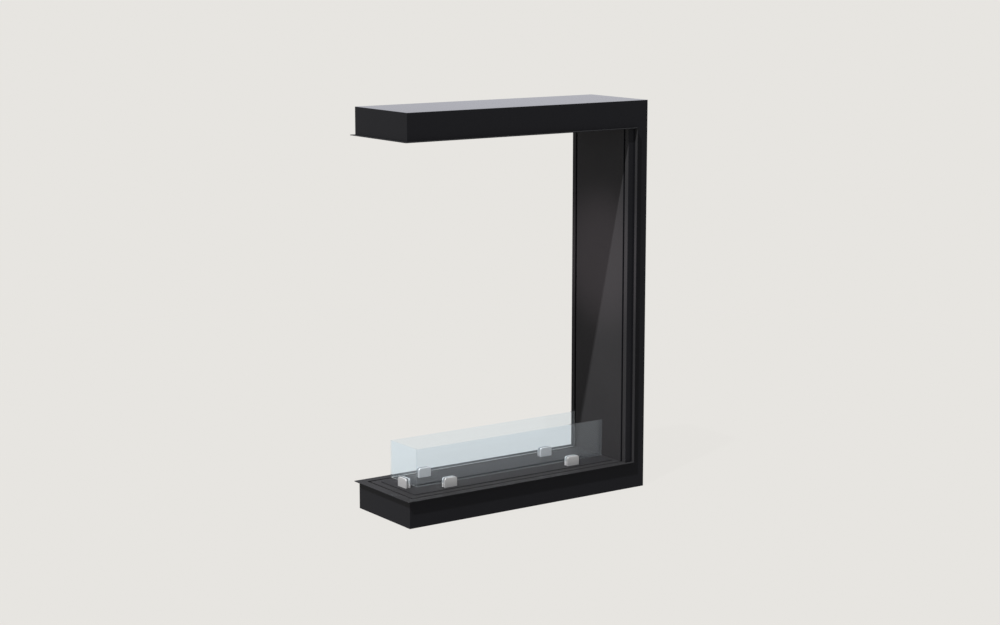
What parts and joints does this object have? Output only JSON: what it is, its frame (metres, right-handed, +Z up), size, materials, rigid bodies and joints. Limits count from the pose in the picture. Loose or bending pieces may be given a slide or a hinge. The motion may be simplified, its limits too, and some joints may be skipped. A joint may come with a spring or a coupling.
{
  "type": "bioethanol fireplace",
  "caption": "Built-in see-through bioethanol fireplace: black C-shaped steel casing open on front, rear and end, lidded slot burner on its base, clear glass screens in steel clamps.",
  "frame": {"origin": "on the floor under the middle of the overall box", "axes": "+Z up, +X along the length towards the column, +Y towards the rear, the open end at -X"},
  "size_m": [1.0126, 0.351, 1.394],
  "materials": {
    "black_powder_coat": "fine matt black powder coat on folded steel sheet",
    "black_burner_coat": "heat-resistant matt black coat on the burner plate and its lid",
    "galvanised_steel": "bare galvanised sheet inside the casing",
    "stainless_steel": "plain stainless steel",
    "brushed_clamp_steel": "satin stainless steel with rounded bright edges",
    "toughened_glass": "clear toughened glass with polished edges",
    "silicone_pad": "thin black heat-resistant silicone",
    "ceramic_fibre": "off-white ceramic fibre mat that soaks up the fuel"
  },
  "bodies": {
    "casing": {"front_casing_panel": "black_powder_coat", "rear_casing_panel": "black_powder_coat", "bottom_panel": "black_powder_coat", "top_panel": "black_powder_coat", "right_side_panel": "black_powder_coat", "base_end_panel": "black_powder_coat", "arm_end_panel": "black_powder_coat", "base_flange_front": "black_powder_coat", "base_flange_rear": "black_powder_coat", "base_flange_end": "black_powder_coat", "top_flange_front": "black_powder_coat", "top_flange_rear": "black_powder_coat", "top_flange_end": "black_powder_coat", "column_flange": "black_powder_coat", "column_liner_front": "black_powder_coat", "column_liner_rear": "black_powder_coat", "column_liner_panel": "black_powder_coat", "tray_surround": "black_powder_coat", "tray_edge_strips": "black_powder_coat", "ceiling_panel": "black_powder_coat", "tray_rail_front": "black_powder_coat", "tray_rail_rear": "black_powder_coat", "tray_rail_end": "black_powder_coat", "ceiling_rail_front": "black_powder_coat", "ceiling_rail_rear": "black_powder_coat", "ceiling_rail_end": "black_powder_coat", "column_liner_brackets": "galvanised_steel", "corner_webs": "galvanised_steel", "column_stiffener": "galvanised_steel", "arm_stiffener": "galvanised_steel", "spill_tray": "galvanised_steel"},
    "burner_unit": {"burner_deck": "black_burner_coat", "burner_tank": "stainless_steel", "slot_collar": "stainless_steel", "ceramic_absorber": "ceramic_fibre", "lid_hinge_brackets": "black_burner_coat", "lid_pivot_pins": "stainless_steel", "clamp_outer_cheek_front_left": "brushed_clamp_steel", "clamp_inner_cheek_front_left": "brushed_clamp_steel", "clamp_core_front_left": "brushed_clamp_steel", "clamp_outer_cheek_front_right": "brushed_clamp_steel", "clamp_inner_cheek_front_right": "brushed_clamp_steel", "clamp_core_front_right": "brushed_clamp_steel", "clamp_outer_cheek_rear_left": "brushed_clamp_steel", "clamp_inner_cheek_rear_left": "brushed_clamp_steel", "clamp_core_rear_left": "brushed_clamp_steel", "clamp_outer_cheek_rear_right": "brushed_clamp_steel", "clamp_inner_cheek_rear_right": "brushed_clamp_steel", "clamp_core_rear_right": "brushed_clamp_steel", "clamp_outer_cheek_end": "brushed_clamp_steel", "clamp_inner_cheek_end": "brushed_clamp_steel", "clamp_core_end": "brushed_clamp_steel", "clamp_pads": "silicone_pad", "clamp_cross_screws": "stainless_steel", "clamp_floor_screws": "stainless_steel"},
    "lid": {"burner_lid": "black_burner_coat"},
    "glass_front": {"glass_front": "toughened_glass"},
    "glass_rear": {"glass_rear": "toughened_glass"},
    "glass_end": {"glass_end": "toughened_glass"}
  },
  "joints": [
    {"name": "burner_unit_lift", "type": "slide", "parent": "casing", "child": "burner_unit", "axis": [0, 0, 1], "range_m": [0, 0.08]},
    {"name": "lid_hinge", "type": "hinge", "parent": "burner_unit", "child": "lid", "pos_m": [-0.0165, 0.012, 0.1016], "axis": [-1, 0, 0], "range_deg": [0, 180]},
    {"name": "glass_front_lift", "type": "slide", "parent": "burner_unit", "child": "glass_front", "axis": [0, 0, 1], "range_m": [0, 0.04]},
    {"name": "glass_rear_lift", "type": "slide", "parent": "burner_unit", "child": "glass_rear", "axis": [0, 0, 1], "range_m": [0, 0.04]},
    {"name": "glass_end_lift", "type": "slide", "parent": "burner_unit", "child": "glass_end", "axis": [0, 0, 1], "range_m": [0, 0.04]}
  ]
}
